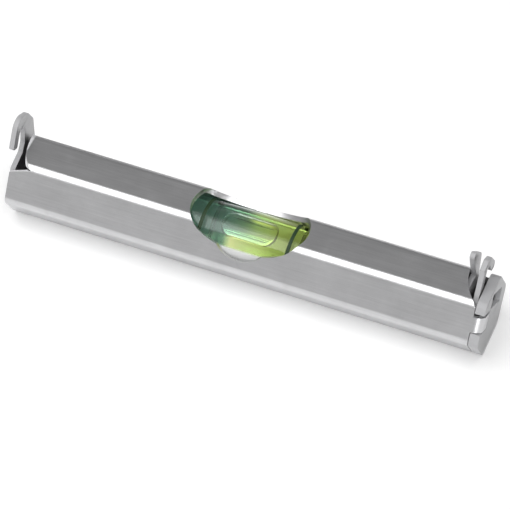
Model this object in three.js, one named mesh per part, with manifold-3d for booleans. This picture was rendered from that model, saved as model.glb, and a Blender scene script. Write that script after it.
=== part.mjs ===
// A line level: a small hexagonal aluminium body that hangs on a taut string by the hooks at its ends,
// with a round clear vial in its middle. Millimetres, +Z up. The level lies on one flat of its body, as
// it does on a bench: X runs along it, and the origin is the middle of the flat that it lies on.
import * as THREE from 'three';
import { mergeVertices } from 'three/addons/utils/BufferGeometryUtils.js';
import Module from 'manifold-3d';

const wasm = await Module();
wasm.setup();

// Driving sizes
const overallLength = 78.6;       // over the left hook plate and the right end cap
const acrossFlats = 11.6;         // over two opposite flats of the hexagon
const sheet = 0.85;               // thickness of the aluminium
const bodyCornerRadius = 1.6;     // outside radius of the body's long edges
const insideCornerRadius = 0.4;
const fitGap = 0.1;               // between pieces that touch
const seamGap = 0.05;             // between the tube's ends and the end pieces
const overrun = 2.0;              // how far a cutting shape passes what it cuts

// Sight window: an oval scoop out of the top flat, with a round notch in its front edge
const windowHalfLength = 9.5;
const windowHalfWidth = 6.9;
const windowDepth = 4.25;
const windowOffset = 0.1;         // of the window and the vial, from the middle of the body
const notchRadius = 4.7;

// Vial
const vialDiameter = 9.6;
const vialLength = 30.0;
const boreDiameter = 7.0;         // at the ends of the bore
const boreSwell = 0.15;           // the bore is a little wider at its middle, so the bubble comes to rest there
const plugDepth = 2.0;            // round spigot of a plug, inside the bore
const plugFlange = 2.4;           // hexagonal flange of a plug, which centres the vial in the body
const fluidGap = 0.06;
const ringSpacing = 14.3;         // between the two level lines
const ringWidth = 0.55;
const ringThickness = 0.16;
const ringGroove = 0.26;
const bubbleLength = 9.0;
const bubbleWidth = 4.9;
const bubbleDepth = 1.15;
const bubbleGap = 0.15;           // between the bubble and the fluid round it
const bubbleTravel = 6.0;         // each way from the middle

// Ends of the body
const capDepth = 1.6;             // the end cap is a shallow cup that continues the tube
const ridgeCutRight = 4.75;       // how far the ridge is cut back from the right end for the double hook
const frontCutRight = 1.75;       // the same, at the front edge
const cutBendRight = 3.2;         // how far forward the cut's curve keeps square to the ridge
const ridgeCutLeft = 1.7;
const frontCutLeft = 4.2;
const cutBendLeft = 4.0;
const lipDrop = 1.6;              // how far the front wall is cut down at the left end
const lipDropInner = 0.5;         // and at the end of the top flat, where that cut ends
const tabWidth = 2.5;             // tab of the body, folded into a notch of the end cap
const tabReach = 3.4;
const tabBendRadius = 1.6;
const tabClearance = 0.12;
const tabClearanceAbove = 0.55;

// Hooks. Heights are above the middle of the hexagon and fronts are before the ridge, as the level hangs.
const hookTop = 10.3;
const hookRootRadius = 0.4;
const hookCrownRadius = 1.3;
const tipRadius = 0.45;
const seatRadius = 0.8;
const seatTop = 8.2;              // where the string bears
// Left hook, open to the front
const leftLegFront = 5.3;
const leftLegCrownRadius = 2.0;
const leftLegRear = 3.7;
const leftTipHeight = 5.0;
const leftSlotRear = 0.8;
const leftSlotBend = 5.2;         // height where the slot's rear edge turns in towards the seat
const leftSeatRear = 1.9;
const leftThroatFront = 1.0;      // lowest point of the slot, from which the plate's edge runs down to the front
const leftThroatFloor = 3.5;
const plateFront = 2.2;           // front edge of the plate, forward of the middle as the level lies
const plateFrontTop = 8.5;        // top of that edge, as the level lies
const leftCrownRear = 1.4;
const leftShoulderRear = -1.2;
const leftShoulderHeight = 8.8;
const leftRootRear = -3.7;
// Double hook: two blades folded from one strip. The outer one's arm reaches to the rear, and the inner
// one's finger leans to the front, so that the two cross over the string.
const capStandoff = 0.85;         // between the outer blade and the end cap
const stemFront = 4.5;
const stemRear = 3.0;
const stemRoot = 2.0;             // height where the outer blade narrows to its stem
const throatSill = 2.5;
const armTop = 9.7;
const armCrownFront = 3.4;
const armCrownRear = 1.6;
const armEnd = -1.6;
const armEndTop = 8.1;
const armEndBottom = 6.9;
const armTipWidth = 1.5;
const fingerFront = 3.7;          // the finger's tip
const fingerTipHeight = 9.4;
const fingerRootFront = -0.4;
const fingerRootRear = -2.9;
const fingerShoulderRear = -1.0;
const fingerShoulderHeight = 9.0;
const bladeSpacing = 2.15;
const footWidth = 4.0;            // strip of a hook piece that lies inside on the bottom wall
const footLength = 7.0;           // of the left plate's foot
const bendRadius = 1.1;           // outside radius where a blade or plate bends into its foot
// Slot in the end cap, below its rear slope
const slotFront = 2.4;
const slotRear = -3.0;
const slotHeight = 2.3;
const slotMargin = 0.95;          // metal left above it
const slotCornerRadius = 0.35;

// Fineness of round forms
const edgeSteps = 6;              // of a long edge of the body
const arcSteps = 5;
const smallArcSteps = 3;
const roundSegments = 48;
const scoopRings = 36;
const bubbleSegments = 40;
const bubbleRings = 24;
const boreSteps = 10;             // along the swell of the bore

// Worked out from the driving sizes
const hexSides = 6;
const hexStep = 2 * Math.PI / hexSides;
const hangTurn = hexStep / 2;     // the level hangs with an edge up, turned by this from the way that it lies
const apothem = acrossFlats / 2;
const wallInside = apothem - sheet;
const ridge = apothem / Math.cos(hangTurn);
const endX = overallLength / 2;
const leftWallEnd = -endX + sheet + seamGap;
const rightWallEnd = endX - capDepth - seamGap;
const floorZ = sheet + fitGap;    // where inner pieces rest on the bottom wall
const boreRadius = boreDiameter / 2;
const vialRadius = vialDiameter / 2;
const bubbleTop = apothem + boreRadius + boreSwell - fluidGap - bubbleGap;

// A point given as the level hangs, in the Y and Z of the way that it lies
function hang(front, height) {
  return new THREE.Vector2(
    height * Math.sin(hangTurn) - front * Math.cos(hangTurn),
    height * Math.cos(hangTurn) + front * Math.sin(hangTurn) + apothem);
}

// The front and height, as the level hangs, of a point given in the Y and Z of the way that it lies
function lying(y, z) {
  return [
    (z - apothem) * Math.sin(hangTurn) - y * Math.cos(hangTurn),
    (z - apothem) * Math.cos(hangTurn) + y * Math.sin(hangTurn)];
}

// Turns a closed geometry into a solid that can be cut and joined
function solid(geometry) {
  geometry.deleteAttribute('normal');
  geometry.deleteAttribute('uv');
  const merged = mergeVertices(geometry);
  const index = merged.index.array;
  const whole = [];
  for (let i = 0; i < index.length; i += 3) {
    const [a, b, c] = index.slice(i, i + 3);
    if (a !== b && b !== c && c !== a) whole.push(a, b, c);
  }
  return new wasm.Manifold(new wasm.Mesh({
    numProp: 3,
    vertProperties: merged.attributes.position.array,
    triVerts: new Uint32Array(whole),
  }));
}

// An outline whose corners, each a point and a radius, are rounded by arcs
function roundedShape(corners, steps) {
  const points = [];
  corners.forEach(([corner, radius], i) => {
    const toBefore = corners.at(i - 1)[0].clone().sub(corner).normalize();
    const toAfter = corners[(i + 1) % corners.length][0].clone().sub(corner).normalize();
    if (radius === 0) {
      points.push(corner);
      return;
    }
    const halfAngle = Math.acos(toBefore.dot(toAfter)) / 2;
    const centre = toBefore.clone().add(toAfter).setLength(radius / Math.sin(halfAngle)).add(corner);
    const tangent = radius / Math.tan(halfAngle);
    const start = toBefore.multiplyScalar(tangent).add(corner).sub(centre);
    const end = toAfter.multiplyScalar(tangent).add(corner).sub(centre);
    const turn = Math.atan2(start.cross(end), start.dot(end));
    for (let step = 0; step <= steps; step++) {
      const spoke = start.clone().rotateAround(new THREE.Vector2(), turn * step / steps);
      points.push(spoke.add(centre));
    }
  });
  return new THREE.Shape(points);
}

// A hexagon as it lies, a flat down, by the distance of its flats from its middle
function hexagon(flatDistance, radius, steps) {
  const reach = flatDistance / Math.cos(hangTurn);
  const corners = [];
  for (let i = 0; i < hexSides; i++) {
    const angle = i * hexStep;
    const corner = new THREE.Vector2(Math.cos(angle) * reach, Math.sin(angle) * reach + apothem);
    corners.push([corner, radius]);
  }
  return roundedShape(corners, steps);
}

// Extrudes a shape by a depth and places it by the directions of its own axes
function extrude(shape, depth, xAxis, yAxis, zAxis, origin) {
  const geometry = new THREE.ExtrudeGeometry(shape, { depth, bevelEnabled: false });
  geometry.applyMatrix4(new THREE.Matrix4().makeBasis(xAxis, yAxis, zAxis).setPosition(origin));
  return solid(geometry);
}

const along = new THREE.Vector3(1, 0, 0);
const across = new THREE.Vector3(0, 1, 0);
const upright = new THREE.Vector3(0, 0, 1);
const hangFront = new THREE.Vector3(0, -Math.cos(hangTurn), Math.sin(hangTurn));
const hangUp = new THREE.Vector3(0, Math.sin(hangTurn), Math.cos(hangTurn));
const hexMiddle = new THREE.Vector3(0, 0, apothem);

// A section of the level in Y and Z, extruded from one X to another
function alongBody(shape, from, to) {
  return extrude(shape, to - from, across, upright, along, along.clone().multiplyScalar(from));
}

// A profile in X and Z, extruded across the level's middle
function acrossBody(shape, width) {
  const origin = across.clone().multiplyScalar(width / 2);
  return extrude(shape, width, along, upright, across.clone().negate(), origin);
}

// A plan in X and front, as the level hangs, extruded from one height to another
function upHang(shape, from, to) {
  const origin = hexMiddle.clone().addScaledVector(hangUp, to);
  return extrude(shape, to - from, along, hangFront, hangUp.clone().negate(), origin);
}

// A profile in X and height, as the level hangs, extruded from one front to another
function frontHang(shape, from, to) {
  const origin = hexMiddle.clone().addScaledVector(hangFront, from);
  return extrude(shape, to - from, along, hangUp, hangFront, origin);
}

function boxBetween(low, high) {
  const size = high.clone().sub(low);
  const middle = high.clone().add(low).divideScalar(2);
  return solid(new THREE.BoxGeometry(size.x, size.y, size.z).translate(middle.x, middle.y, middle.z));
}

const point = (x, y) => new THREE.Vector2(x, y);

// The body: a hexagonal tube with the sight window, the ends cut back for the hooks, and a folded tab
function makeBody() {
  const outside = alongBody(hexagon(apothem, bodyCornerRadius, edgeSteps), -endX, endX);
  const inside = alongBody(hexagon(wallInside, insideCornerRadius, smallArcSteps), -endX - overrun, endX + overrun);
  let body = outside.subtract(inside);

  // The walls stop short at the end pieces, but the bottom one runs on under the end cap
  body = body.subtract(boxBetween(
    new THREE.Vector3(-endX - overrun, -acrossFlats, -overrun),
    new THREE.Vector3(leftWallEnd, acrossFlats, acrossFlats + overrun)));
  body = body.subtract(boxBetween(
    new THREE.Vector3(rightWallEnd, -acrossFlats, floorZ),
    new THREE.Vector3(endX + overrun, acrossFlats, acrossFlats + overrun)));

  const scoop = new THREE.SphereGeometry(1, roundSegments, scoopRings)
    .scale(windowHalfLength, windowHalfWidth, windowDepth).translate(windowOffset, 0, acrossFlats);
  body = body.subtract(solid(scoop));

  // The notch is drilled square to the front wall, from just inside it
  const notch = new THREE.CylinderGeometry(notchRadius, notchRadius, 2 * sheet + overrun, roundSegments);
  const drillDepth = apothem + overrun / 2;
  notch.applyMatrix4(new THREE.Matrix4().makeBasis(along, hangFront, hangUp.clone().negate()));
  const notchPlace = hexMiddle.clone().addScaledVector(hangFront, drillDepth)
    .addScaledVector(hangUp, ridge / 2);
  notch.translate(windowOffset, notchPlace.y, notchPlace.z);
  body = body.subtract(solid(notch));

  // Right end: the rear slope is cut back square, and the top flat in a curve that runs out at the front edge
  const cutX = endX - ridgeCutRight;
  const rightCut = new THREE.Shape();
  rightCut.moveTo(cutX, 0);
  rightCut.lineTo(cutX, -wallInside);
  rightCut.lineTo(endX + overrun, -wallInside);
  rightCut.lineTo(endX + overrun, apothem + overrun);
  rightCut.lineTo(endX - frontCutRight, apothem + overrun);
  rightCut.lineTo(endX - frontCutRight, apothem);
  rightCut.quadraticCurveTo(cutX, cutBendRight, cutX, 0);
  const innerEdge = wallInside * Math.tan(hangTurn);
  body = body.subtract(upHang(rightCut, innerEdge, ridge + overrun));

  // Left end: a curve that runs back further along the front edge, and a lowered front lip
  const leftCut = new THREE.Shape();
  leftCut.moveTo(-endX - overrun, -apothem);
  leftCut.lineTo(leftWallEnd, -apothem);
  leftCut.quadraticCurveTo(-endX + ridgeCutLeft, -apothem / 2, -endX + ridgeCutLeft, 0);
  leftCut.quadraticCurveTo(-endX + ridgeCutLeft, cutBendLeft, -endX + frontCutLeft, apothem);
  leftCut.lineTo(-endX + frontCutLeft, apothem + overrun);
  leftCut.lineTo(-endX - overrun, apothem + overrun);
  body = body.subtract(upHang(leftCut, ridge / 2 - lipDropInner, ridge + overrun));
  const lipTop = ridge / 2 - lipDropInner;
  const lipCut = new THREE.Shape([
    point(-endX - overrun, ridge / 2 - lipDrop), point(leftWallEnd, ridge / 2 - lipDrop),
    point(-endX + frontCutLeft, lipTop), point(-endX + frontCutLeft, lipTop + fitGap),
    point(-endX - overrun, lipTop + fitGap)]);
  body = body.subtract(frontHang(lipCut, wallInside - insideCornerRadius, apothem + overrun));

  return body.add(upHang(tabPlan(), -tabWidth / 2, tabWidth / 2));
}

// Plan of the tab that runs on from the front wall and folds into the end cap's notch
function tabPlan() {
  const rootX = rightWallEnd - sheet;
  return roundedShape([
    [point(rootX, apothem), 0],
    [point(endX, apothem), tabBendRadius],
    [point(endX, apothem - tabReach), insideCornerRadius],
    [point(endX - sheet, apothem - tabReach), 0],
    [point(endX - sheet, wallInside), tabBendRadius - sheet],
    [point(rootX, wallInside), 0],
  ], arcSteps);
}

// An outline given as the level hangs, as rows of front, height and corner radius
function hangShape(rows, steps) {
  const corners = rows.map(([front, height, radius]) => [hang(front, height), radius]);
  return roundedShape(corners, steps);
}

// Left hook plate: it covers the rear of the body's end and rises into a hook that opens to the front
function makeLeftPlate() {
  const outline = hangShape([
    [-apothem, ridge / 2, bodyCornerRadius],
    [-apothem, -ridge / 2, bodyCornerRadius],
    [...lying(-plateFront, 0), 0],
    [...lying(-plateFront, plateFrontTop), tipRadius],
    [leftThroatFront, leftThroatFloor, seatRadius],
    [leftSlotRear, leftSlotBend, seatRadius],
    [leftSeatRear, seatTop, seatRadius],
    [leftLegRear, seatTop, seatRadius],
    [leftLegRear, leftTipHeight, tipRadius],
    [leftLegFront, leftTipHeight, tipRadius],
    [leftLegFront, hookTop, leftLegCrownRadius],
    [leftCrownRear, hookTop, hookCrownRadius],
    [leftShoulderRear, leftShoulderHeight, hookCrownRadius],
    [leftRootRear, ridge + leftRootRear * Math.tan(hangTurn), hookRootRadius],
  ], arcSteps);
  let plate = alongBody(outline, -endX, -endX + sheet);
  plate = plate.subtract(boxBetween(
    new THREE.Vector3(-endX - overrun, -acrossFlats, -overrun),
    new THREE.Vector3(endX, acrossFlats, floorZ + bendRadius)));
  const foot = roundedShape([
    [point(-endX, floorZ), bendRadius],
    [point(-endX + footLength, floorZ), 0],
    [point(-endX + footLength, floorZ + sheet), 0],
    [point(-endX + sheet, floorZ + sheet), bendRadius - sheet],
    [point(-endX + sheet, apothem), 0],
    [point(-endX, apothem), 0],
  ], arcSteps);
  return plate.add(acrossBody(foot, footWidth));
}

// Double hook: a strip folded to a U in the right end, whose two blades rise through the open ridge
function makeDoubleHook() {
  const flat = wallInside - fitGap;
  const peak = flat / Math.cos(hangTurn);
  const slope = (front) => peak - Math.abs(front) * Math.tan(hangTurn);
  const leaf = [
    [-flat, -peak / 2, insideCornerRadius],
    [0, -peak, insideCornerRadius],
    [flat, -peak / 2, insideCornerRadius],
  ];
  const outerBlade = hangShape([
    [-flat, throatSill, insideCornerRadius],
    ...leaf,
    [flat, stemRoot, 0],
    [stemFront, peak / 2, 0],
    [stemFront, armTop - hookCrownRadius, hookCrownRadius / 2],
    [armCrownFront, armTop, hookCrownRadius / 2],
    [armCrownRear, armTop, hookCrownRadius],
    [armEnd, armEndTop, hookCrownRadius / 2],
    [armEnd, armEndBottom, tipRadius],
    [armEnd + armTipWidth, armEndBottom, tipRadius],
    [stemRear - 2 * seatRadius, seatTop, tipRadius],
    [stemRear, seatTop, tipRadius],
    [stemRear, throatSill, tipRadius],
  ], arcSteps);
  const innerBlade = hangShape([
    [-flat, peak / 2, insideCornerRadius],
    ...leaf,
    [flat, peak / 2, insideCornerRadius],
    [fingerRootFront, slope(fingerRootFront), 0],
    [fingerFront, fingerTipHeight, tipRadius],
    [fingerFront - tipRadius, hookTop, hookCrownRadius / 2],
    [fingerShoulderRear, fingerShoulderHeight, hookCrownRadius],
    [fingerRootRear, slope(fingerRootRear), hookRootRadius],
  ], arcSteps);
  const outerX = endX - sheet - capStandoff;
  const innerX = outerX - bladeSpacing;
  let clip = alongBody(outerBlade, outerX - sheet, outerX)
    .add(alongBody(innerBlade, innerX - sheet, innerX));
  clip = clip.subtract(boxBetween(
    new THREE.Vector3(innerX - overrun, -acrossFlats, -overrun),
    new THREE.Vector3(endX, acrossFlats, floorZ + bendRadius)));
  const foot = roundedShape([
    [point(innerX - sheet, apothem), 0],
    [point(innerX - sheet, floorZ), bendRadius],
    [point(outerX, floorZ), bendRadius],
    [point(outerX, apothem), 0],
    [point(outerX - sheet, apothem), 0],
    [point(outerX - sheet, floorZ + sheet), bendRadius - sheet],
    [point(innerX, floorZ + sheet), bendRadius - sheet],
    [point(innerX, apothem), 0],
  ], arcSteps);
  return clip.add(acrossBody(foot, footWidth));
}

// End cap: a shallow hexagonal cup that closes the right end behind the double hook, with a slot
function makeEndCap() {
  let cap = alongBody(hexagon(apothem, bodyCornerRadius, edgeSteps), endX - capDepth, endX)
    .subtract(alongBody(hexagon(wallInside, insideCornerRadius, smallArcSteps),
      endX - capDepth - overrun, endX - sheet));
  cap = cap.subtract(boxBetween(
    new THREE.Vector3(-endX, -acrossFlats, -overrun), new THREE.Vector3(endX + overrun, acrossFlats, floorZ)));
  const slotTop = (front) => ridge - (Math.abs(front) * Math.sin(hangTurn) + slotMargin) / Math.cos(hangTurn);
  const slot = hangShape([
    [slotRear, slotTop(slotRear) - slotHeight, slotCornerRadius],
    [slotFront, slotTop(slotFront) - slotHeight, slotCornerRadius],
    [slotFront, slotTop(slotFront), slotCornerRadius],
    [slotRear, slotTop(slotRear), slotCornerRadius],
  ], smallArcSteps);
  cap = cap.subtract(alongBody(slot, endX - sheet - overrun, endX + overrun));
  const notchInner = apothem - tabReach - tabClearance;
  const notch = new THREE.Shape([
    point(rightWallEnd - overrun, notchInner), point(endX + overrun, notchInner),
    point(endX + overrun, apothem + overrun), point(rightWallEnd - overrun, apothem + overrun)]);
  return cap.subtract(upHang(notch, -tabWidth / 2 - tabClearance, tabWidth / 2 + tabClearanceAbove));
}

// Radius of the bore at a distance from the vial's middle
function boreRadiusAt(distance) {
  const share = 2 * distance / vialLength;
  return boreRadius + boreSwell * (1 - share * share);
}

// Revolves an outline of distances along the vial and radii about the vial's axis
function revolve(outline) {
  const profile = outline.map(([distance, radius]) => point(radius, distance));
  const geometry = new THREE.LatheGeometry(profile, roundSegments);
  geometry.applyMatrix4(new THREE.Matrix4().makeBasis(upright, along, across)
    .setPosition(windowOffset, 0, apothem));
  return solid(geometry);
}

// Bore outline from one end to the other, drawn in by a gap
function boreLine(halfLength, gap) {
  const line = [];
  for (let i = 0; i <= boreSteps; i++) {
    const distance = halfLength * (2 * i / boreSteps - 1);
    line.push([distance, boreRadiusAt(distance) - gap]);
  }
  return line;
}

// Barrel: a clear tube with a swelling bore and a groove round it for each level line
function makeBarrel() {
  const half = vialLength / 2;
  const grooveHalf = ringWidth / 2 + fluidGap;
  const outline = [[-half, vialRadius]];
  for (const middle of [-ringSpacing / 2, ringSpacing / 2]) {
    outline.push([middle - grooveHalf, vialRadius], [middle - grooveHalf, vialRadius - ringGroove],
      [middle + grooveHalf, vialRadius - ringGroove], [middle + grooveHalf, vialRadius]);
  }
  outline.push([half, vialRadius], ...boreLine(half, 0).reverse(), [-half, vialRadius]);
  return revolve(outline);
}

// Level line: a thin coloured ring in its groove, flush with the barrel
function makeRing(sign) {
  const inner = vialRadius - ringThickness - (ringGroove - ringThickness) / 2;
  const outer = inner + ringThickness;
  const middle = sign * ringSpacing / 2;
  return revolve([
    [middle - ringWidth / 2, outer], [middle + ringWidth / 2, outer],
    [middle + ringWidth / 2, inner], [middle - ringWidth / 2, inner],
    [middle - ringWidth / 2, outer]]);
}

// Plug: a spigot that seals the bore, and a hexagonal flange that fits the body
function makePlug(sign) {
  const half = vialLength / 2;
  const spigotRadius = boreRadiusAt(half) - fluidGap;
  const ends = [sign * (half - plugDepth), sign * (half + plugFlange / 2)].sort((a, b) => a - b);
  const spigot = revolve([[ends[0], 0], [ends[0], spigotRadius], [ends[1], spigotRadius], [ends[1], 0]]);
  const flangeEnds = [sign * (half + fitGap), sign * (half + plugFlange)].sort((a, b) => a - b);
  const flange = alongBody(hexagon(wallInside - fitGap, insideCornerRadius, smallArcSteps),
    windowOffset + flangeEnds[0], windowOffset + flangeEnds[1]);
  return spigot.add(flange);
}

// An oval drop at a place along the vial, under the top of the bore
function bubbleDrop(distance, grow) {
  const drop = new THREE.SphereGeometry(1, bubbleSegments, bubbleRings);
  drop.scale(bubbleLength / 2 + grow, bubbleWidth / 2 + grow, bubbleDepth + grow);
  drop.translate(windowOffset + distance, 0, bubbleTop);
  return solid(drop);
}

// Bubble: flat on top, where it lies against the bore
function makeBubble() {
  const half = bubbleLength / 2 + overrun;
  const bore = revolve([[-half, 0], [-half, boreRadius - fluidGap - bubbleGap],
    [half, boreRadius - fluidGap - bubbleGap], [half, 0]]);
  return bubbleDrop(0, 0).intersect(bore);
}

// Fluid: it fills the bore but for the channel along the top in which the bubble moves
function makeFluid() {
  const half = vialLength / 2 - plugDepth - fluidGap;
  const bore = revolve([[-half, 0], ...boreLine(half, fluidGap), [half, 0]]);
  const run = new THREE.CylinderGeometry(1, 1, 2 * bubbleTravel, bubbleSegments);
  run.applyMatrix4(new THREE.Matrix4().makeBasis(upright, along, across));
  run.scale(1, bubbleWidth / 2 + bubbleGap, bubbleDepth + bubbleGap).translate(windowOffset, 0, bubbleTop);
  const channel = solid(run).add(bubbleDrop(-bubbleTravel, bubbleGap)).add(bubbleDrop(bubbleTravel, bubbleGap));
  return bore.subtract(channel);
}

const finishes = {
  aluminium: new THREE.MeshStandardMaterial({ color: 0xc4c5c8, roughness: 0.32, metalness: 1 }),
  acrylic: new THREE.MeshStandardMaterial({
    color: 0xe6efe8, roughness: 0.05, metalness: 0, transparent: true, opacity: 0.35 }),
  fluid: new THREE.MeshStandardMaterial({
    color: 0x9fc23a, roughness: 0.1, metalness: 0, transparent: true, opacity: 0.7 }),
  bubble: new THREE.MeshStandardMaterial({
    color: 0xdfe8c8, roughness: 0.05, metalness: 0, transparent: true, opacity: 0.5 }),
  line: new THREE.MeshStandardMaterial({ color: 0x1d2a1c, roughness: 0.5, metalness: 0 }),
  plug: new THREE.MeshStandardMaterial({ color: 0xdfe3dc, roughness: 0.4, metalness: 0 }),
};

const level = new THREE.Group();

function addPiece(name, body, finish) {
  const { vertProperties, triVerts, numProp } = body.getMesh();
  const geometry = new THREE.BufferGeometry();
  geometry.setAttribute('position', new THREE.BufferAttribute(vertProperties, numProp));
  geometry.setIndex(new THREE.BufferAttribute(triVerts, 1));
  geometry.computeVertexNormals();
  const mesh = new THREE.Mesh(geometry, finishes[finish]);
  mesh.name = name;
  level.add(mesh);
}

addPiece('body_tube', makeBody(), 'aluminium');
addPiece('left_hook_plate', makeLeftPlate(), 'aluminium');
addPiece('right_double_hook', makeDoubleHook(), 'aluminium');
addPiece('right_end_cap', makeEndCap(), 'aluminium');
addPiece('vial_barrel', makeBarrel(), 'acrylic');
addPiece('vial_fluid', makeFluid(), 'fluid');
addPiece('vial_bubble', makeBubble(), 'bubble');
addPiece('vial_line_left', makeRing(-1), 'line');
addPiece('vial_line_right', makeRing(1), 'line');
addPiece('vial_plug_left', makePlug(-1), 'plug');
addPiece('vial_plug_right', makePlug(1), 'plug');

export default level;
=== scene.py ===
"""Dresses the line level: brushed aluminium with eased edges, a clear vial and its yellow-green liquid."""

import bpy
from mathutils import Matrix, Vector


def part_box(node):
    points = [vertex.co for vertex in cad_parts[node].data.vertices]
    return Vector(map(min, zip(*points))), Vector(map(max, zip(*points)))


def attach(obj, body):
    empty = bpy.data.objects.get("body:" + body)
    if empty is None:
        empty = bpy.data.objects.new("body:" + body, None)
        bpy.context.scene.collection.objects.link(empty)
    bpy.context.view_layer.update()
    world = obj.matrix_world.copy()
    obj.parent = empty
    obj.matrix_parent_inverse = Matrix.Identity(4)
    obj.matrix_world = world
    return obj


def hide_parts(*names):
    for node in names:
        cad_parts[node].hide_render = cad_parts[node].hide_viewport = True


bl_info = {
    "name": "Line Level",
    "version": (1, 0, 0),
    "blender": (4, 5, 0),
    "location": "3D View > Sidebar > Line Level",
    "description": "Models a hexagonal aluminium line level with its hooks and vial",
    "category": "Add Mesh",
}

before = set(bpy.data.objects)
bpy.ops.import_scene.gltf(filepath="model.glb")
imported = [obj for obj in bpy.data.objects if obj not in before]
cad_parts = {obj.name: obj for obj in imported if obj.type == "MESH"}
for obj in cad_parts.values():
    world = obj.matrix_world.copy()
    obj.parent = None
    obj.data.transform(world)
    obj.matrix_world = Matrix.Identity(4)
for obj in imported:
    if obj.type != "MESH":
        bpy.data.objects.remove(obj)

import math

import bpy
from bpy.props import FloatProperty, FloatVectorProperty, PointerProperty
from mathutils import Matrix, Vector

MM = 0.001
HEX_SIDES = 6
HANG_TURN = math.pi / HEX_SIDES  # the level hangs with an edge up, turned by this from the way it lies
PLACE_UNIT = 25 * MM  # length that a material's places are given in
CLOSE = 0.002 * MM  # points nearer than this are one point
RING = 0.01 * MM  # points nearer to a place on a bar than this are in its ring there
GRAIN_DEPTH = 0.004 * MM  # of brushed metal and moulded plastic
ROUND_SIDES = 96  # of round bars, and of the scoop that cuts the window
SCOOP_RINGS = 65
EDGE_STEPS = 10  # along the rounding of a long edge
SHARP = math.radians(38)  # edges that turn by more than this are eased
SMOOTH = math.radians(40)  # and those that turn by less look smooth
PLATE_EASING = 1.6  # how much more the sheared pieces are eased than the tube
ROLL_SHARE = 0.7  # of the sheet, in which the edges that are rolled lie
LINE_EASING = 0.8  # of a level line's height, by which its edges are eased
FLAT_WEIGHT = 80  # how much a large face outweighs a small one in the shading
LENGTHWISE = (0, math.pi / 2, 0)  # turns a cylinder to lie along X

# Places that the frame gives
BODY_LOW, BODY_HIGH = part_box("body_tube")
CAP_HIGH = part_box("right_end_cap")[1]
BARREL_LOW, BARREL_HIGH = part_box("vial_barrel")
BUBBLE_LOW, BUBBLE_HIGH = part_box("vial_bubble")
FLATS = BODY_HIGH.z - BODY_LOW.z
APOTHEM = FLATS / 2
RIDGE = APOTHEM / math.cos(HANG_TURN)
END_X = CAP_HIGH.x
VIAL_MIDDLE = (BARREL_LOW + BARREL_HIGH) / 2

ALONG = Vector((1, 0, 0))
ACROSS = Vector((0, 1, 0))
UPRIGHT = Vector((0, 0, 1))
HANG_FRONT = Vector((0, -math.cos(HANG_TURN), math.sin(HANG_TURN)))
HANG_UP = Vector((0, math.sin(HANG_TURN), math.cos(HANG_TURN)))
HEX_MIDDLE = Vector((0, 0, APOTHEM))


def length(name, description, millimetres):
    """A size that a user can set, given in millimetres."""
    return FloatProperty(
        name=name, description=description, default=millimetres * MM, unit="LENGTH", subtype="DISTANCE",
        precision=5)


def colour(name, description, red, green, blue):
    return FloatVectorProperty(
        name=name, description=description, default=(red, green, blue, 1), size=4, min=0, max=1,
        subtype="COLOR")


def share(name, description, value, high=1.0):
    return FloatProperty(name=name, description=description, default=value, min=0, max=high, subtype="FACTOR")


def number(name, description, value, subtype="NONE"):
    return FloatProperty(name=name, description=description, default=value, subtype=subtype)


class LEVEL_PG_body(bpy.types.PropertyGroup):
    sheet: length("Sheet", "Thickness of the aluminium", 0.85)
    corner: length("Corner radius", "Outside radius of the body's long edges", 1.6)
    inner_corner: length("Inner radius", "Smallest radius of a fold", 0.4)
    rim: length("Rim easing", "How far the cut edges are eased", 0.07)
    fit: length("Fit", "Gap between pieces that touch", 0.1)
    seam: length("Seam", "Gap between the tube's ends and the end pieces", 0.05)
    overrun: length("Overrun", "How far a cutting shape passes what it cuts", 2.0)
    window_half_length: length("Window half length", "Half the length of the sight window", 9.5)
    window_half_width: length("Window half width", "Half width of the scoop that cuts the window", 6.9)
    window_depth: length("Window depth", "Depth of that scoop below the upper flat", 4.25)
    notch: length("Notch radius", "Radius of the notch in the front edge", 4.7)
    cap_depth: length("Cap depth", "Depth of the shallow cup that closes the right end", 1.6)
    ridge_cut_right: length("Right ridge cut", "How far the ridge is cut back for the double hook", 4.75)
    front_cut_right: length("Right front cut", "The same, at the front edge", 1.75)
    cut_clear: length("Cut clearance", "How far the cut's rear edge stays from the rounded corner", 0.25)
    cut_bend_right: length("Right cut bend", "How far forward the cut's curve keeps square to the ridge", 3.2)
    ridge_cut_left: length("Left ridge cut", "How far the ridge is cut back at the left plate", 1.7)
    front_cut_left: length("Left front cut", "The same, at the front edge", 4.2)
    cut_bend_left: length("Left cut bend", "How far forward that cut's curve keeps square to the ridge", 4.0)
    roll: length("Roll", "Rounding of the upper flat's edge at the left end", 0.45)
    lip_drop: length("Lip drop", "How far the front wall is cut down at the left end", 1.6)
    lip_drop_inner: length("Inner lip drop", "How far it is cut down where that cut ends", 0.5)
    tab_width: length("Tab width", "Width of the tab folded into the end cap's notch", 2.5)
    tab_reach: length("Tab reach", "How far the tab reaches over the cap's face", 3.4)
    tab_bend: length("Tab bend", "Outside radius of the tab's fold", 1.6)
    tab_clearance: length("Tab clearance", "Gap beyond the tab's end and below it", 0.12)
    tab_clearance_above: length("Tab clearance above", "Gap above the tab", 0.55)


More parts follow.
